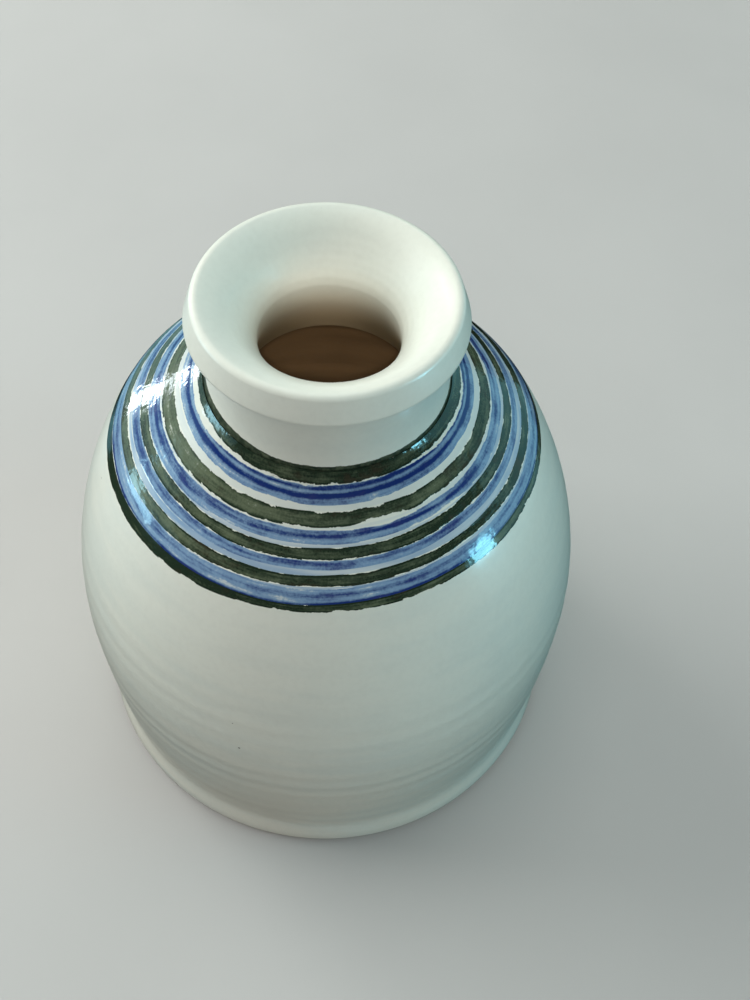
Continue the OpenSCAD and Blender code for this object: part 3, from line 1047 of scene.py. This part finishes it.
def build_bands(context, family, slot_name):
    """Builds every band of one colour family with its own brushwork."""
    outline = Outline(context.scene.vase_shape)
    strips = pattern_strips(outline)
    edges = strip_edges(strips, around(FINE_COLUMNS))
    for seed, name in enumerate(BANDS):
        if name.startswith(family):
            piece = band_piece(outline, strips, edges, name)
            finished(piece, band_glaze(name, seed), slot_name, name)


class VASE_OT_green_bands(bpy.types.Operator):
    """Build the green brushed bands"""

    bl_idname = "vase.green_bands"
    bl_label = "Green bands"

    def execute(self, context):
        """Makes each green ring of glaze."""
        build_bands(context, "green", "green_glaze")
        return {"FINISHED"}


class VASE_OT_blue_bands(bpy.types.Operator):
    """Build the blue brushed bands"""

    bl_idname = "vase.blue_bands"
    bl_label = "Blue bands"

    def execute(self, context):
        """Makes each blue ring of glaze."""
        build_bands(context, "blue", "blue_glaze")
        return {"FINISHED"}


# Windows of light: azimuth from +Y towards +X and elevation in degrees, distance, width and
# height in metres, share of the power, what they do, and tint. A glow lights without a mirror
# image, a glint is only a mirror image, a veil is a glint with soft edges, and a pane does both.
WINDOWS = {
    "soft_left": (-62, 28, 1.0, 0.8, 0.7, 1.25, "glow", (0.95, 1.0, 1.0)),
    "soft_top": (20, 75, 1.1, 0.8, 0.8, 0.54, "glow", (0.94, 0.99, 0.95)),
    "soft_front": (178, 45, 1.0, 0.8, 0.6, 0.23, "glow", (1.0, 0.96, 0.93)),
    "soft_right": (95, 14, 1.6, 0.8, 0.5, 0.74, "glow", (0.06, 0.78, 1.0)),
    "left_veil": (-76, 12, 1.0, 1.1, 0.60, 0.46, "veil", (0.40, 0.88, 1.0)),
    "low_left_veil": (-32, -18, 1.0, 0.7, 0.60, 0.24, "veil", (0.30, 0.80, 0.95)),
    "right_veil": (80, 4, 1.0, 1.5, 0.80, 1.15, "veil", (0.28, 0.80, 0.92)),
    "back_left_pane": (-50.0, 1.4, 0.99, 0.12, 0.09, 0.055, "pane", (0.86, 0.96, 1.0)),
    "left_pane": (-85, 9, 0.99, 0.36, 0.21, 0.140, "glint", (0.45, 0.85, 1.0)),
    "right_pane": (110, 8.5, 0.9, 0.17, 0.38, 0.320, "glint", (0.28, 0.80, 1.0)),
    "high_pane": (-40, 33, 1.0, 0.45, 0.28, 0.100, "pane", (1.0, 1.0, 0.94)),
}
FADES = (1.0, 0.82, 0.64, 0.46, 0.28)  # sizes of the nested lamps that give a veil its soft edge

# Beams through the mouth: the piece that each lights, its share of the power, the cone's angle in
# degrees, how soft its edge is, how much wider it is than tall, and where it is aimed.
BEAMS = {
    "chamber_beam": ("liner_coat", 1.0, 10.0, 0.2, 1.0, (0.0, 0.0, 0.092)),
    "throat_beam": ("neck_coat", 0.6, 4.2, 0.8, 1.7, (0.0, 0.0118, 0.0985)),
}


def aimed(lamp, place, target):
    """Puts a lamp at a place, looking at the target."""
    look = (Vector(target) - Vector(place)).to_track_quat("-Z", "Y").to_matrix().to_4x4()
    lamp.matrix_world = Matrix.Translation(Vector(place)) @ look


class VASE_OT_stage(bpy.types.Operator):
    """Build the pale floor, the soft windows of light and the camera"""

    bl_idname = "vase.stage"
    bl_label = "Stage"

    def execute(self, context):
        """Sets out everything that isn't part of the vase."""
        stage = context.scene.vase_stage
        self.lay_floor(context)
        for name, window in WINDOWS.items():
            self.hang_window(name, *window)
        self.light_inside(context)
        world = bpy.data.worlds.new("even_light")
        world.use_nodes = True
        sky = world.node_tree.nodes["Background"]
        sky.inputs["Color"].default_value = (0.93, 0.97, 1.0, 1.0)
        sky.inputs["Strength"].default_value = stage.sky_strength
        world.cycles_visibility.glossy = False
        context.scene.world = world
        context.scene.view_settings.view_transform = "Standard"
        self.set_camera(context)
        return {"FINISHED"}

    def hang_window(self, name, azimuth, elevation, distance, width, height, share, kind, tint):
        """Hangs a window's lamp, or for a veil its nested lamps, facing the middle of the vase."""
        power = bpy.context.scene.vase_stage.window_power * share
        a, e = math.radians(azimuth), math.radians(elevation)
        place = (distance * math.sin(a) * math.cos(e), distance * math.cos(a) * math.cos(e),
                 distance * math.sin(e))
        sizes = FADES if kind == "veil" else (1.0,)
        for size in sizes:
            lamp = bpy.data.lights.new(name, "AREA")
            lamp.shape = "RECTANGLE"
            lamp.size = width * size
            lamp.size_y = height * size
            lamp.energy = power * size ** 2 / len(sizes)
            lamp.color = tint
            pane = bpy.data.objects.new(name, lamp)
            pane.visible_glossy = kind != "glow"
            pane.visible_diffuse = kind in ("glow", "pane")
            bpy.context.scene.collection.objects.link(pane)
            aimed(pane, place, (0.0, 0.0, 0.5 * TOTAL_HEIGHT))

    def light_inside(self, context):
        """Two beams through the mouth, so that the chamber and the back of the throat aren't black."""
        stage = context.scene.vase_stage
        for name, (piece, share, degrees, blend, spread, target) in BEAMS.items():
            lamp = bpy.data.lights.new(name, "SPOT")
            lamp.energy = stage.beam_power * share
            lamp.color = (1.0, 0.97, 0.92)
            lamp.spot_size = math.radians(degrees)
            lamp.spot_blend = blend
            lamp.shadow_soft_size = 0.004
            beam = bpy.data.objects.new(name, lamp)
            beam.visible_glossy = False
            context.scene.collection.objects.link(beam)
            aimed(beam, (0.0, -stage.eye_back, stage.eye_height), target)
            beam.scale.x = spread
            lit = bpy.data.collections.new("lit_by_" + name)
            lit.objects.link(bpy.data.objects[piece])
            beam.light_linking.receiver_collection = lit

    def lay_floor(self, context):
        """A wide plain floor, faintly uneven in colour."""
        half = 2.0
        corners = [(-half, -half, 0.0), (half, -half, 0.0), (half, half, 0.0), (-half, half, 0.0)]
        mesh = bpy.data.meshes.new("floor")
        mesh.from_pydata(corners, [], [(0, 1, 2, 3)])
        floor = linked("floor", mesh)
        material, w, shader = new_material("plain_floor", 0.7, 0.0, 0.1)
        tone = tuple(context.scene.vase_colours.floor)
        cloud = w.noise(object_place(w), 14.0, detail=4.0)
        w.feed(shader.inputs["Base Color"],
               w.blend(w.rise(cloud, 0.3, 0.7), tone, tuple(0.96 * part for part in tone)))
        floor.data.materials.append(material)
        floor.visible_glossy = False

    def set_camera(self, context):
        """Looks down on the vase from close in front."""
        stage = context.scene.vase_stage
        lens = bpy.data.cameras.new("camera")
        lens.lens = stage.lens
        lens.sensor_width = 36.0
        lens.clip_start = 0.01
        camera = bpy.data.objects.new("camera", lens)
        context.scene.collection.objects.link(camera)
        tilt, pan = stage.tilt, stage.pan
        forward = Vector((0.0, math.cos(tilt), -math.sin(tilt)))
        up = Vector((0.0, math.sin(tilt), math.cos(tilt)))
        right = Vector((1.0, 0.0, 0.0))
        looking = forward * math.cos(pan) + right * math.sin(pan)
        across = right * math.cos(pan) - forward * math.sin(pan)
        turned = Matrix((across, up, -looking)).transposed().to_4x4()
        camera.matrix_world = Matrix.Translation((0.0, -stage.eye_back, stage.eye_height)) @ turned
        context.scene.camera = camera


class VASE_PT_panel(bpy.types.Panel):
    """Lists the pieces and their settings"""

    bl_idname = "VASE_PT_panel"
    bl_label = "Bud Vase"
    bl_space_type = "VIEW_3D"
    bl_region_type = "UI"
    bl_category = "Bud Vase"

    def draw(self, context):
        """Draws a button for each operator and the settings of each group."""
        for operator in OPERATORS:
            self.layout.operator(operator.bl_idname)
        for key, settings in GROUPS.items():
            box = self.layout.box()
            box.label(text=key.replace("_", " ").capitalize())
            for name in settings.__annotations__:
                box.prop(getattr(context.scene, key), name)


OPERATORS = (VASE_OT_clay, VASE_OT_white_coats, VASE_OT_liner, VASE_OT_green_bands,
             VASE_OT_blue_bands, VASE_OT_stage)


def register():
    """Registers the classes and hangs the settings on the scene."""
    for cls in (*GROUPS.values(), *OPERATORS, VASE_PT_panel):
        bpy.utils.register_class(cls)
    for key, settings in GROUPS.items():
        setattr(bpy.types.Scene, key, bpy.props.PointerProperty(type=settings))


def unregister():
    """Takes the settings and the classes away again."""
    for key in GROUPS:
        delattr(bpy.types.Scene, key)
    for cls in reversed((*GROUPS.values(), *OPERATORS, VASE_PT_panel)):
        bpy.utils.unregister_class(cls)


def main():
    """Builds the vase and its stage."""
    register()
    bpy.ops.vase.clay()
    bpy.ops.vase.white_coats()
    bpy.ops.vase.liner()
    bpy.ops.vase.green_bands()
    bpy.ops.vase.blue_bands()
    bpy.ops.vase.stage()


if __name__ == "__main__":
    main()
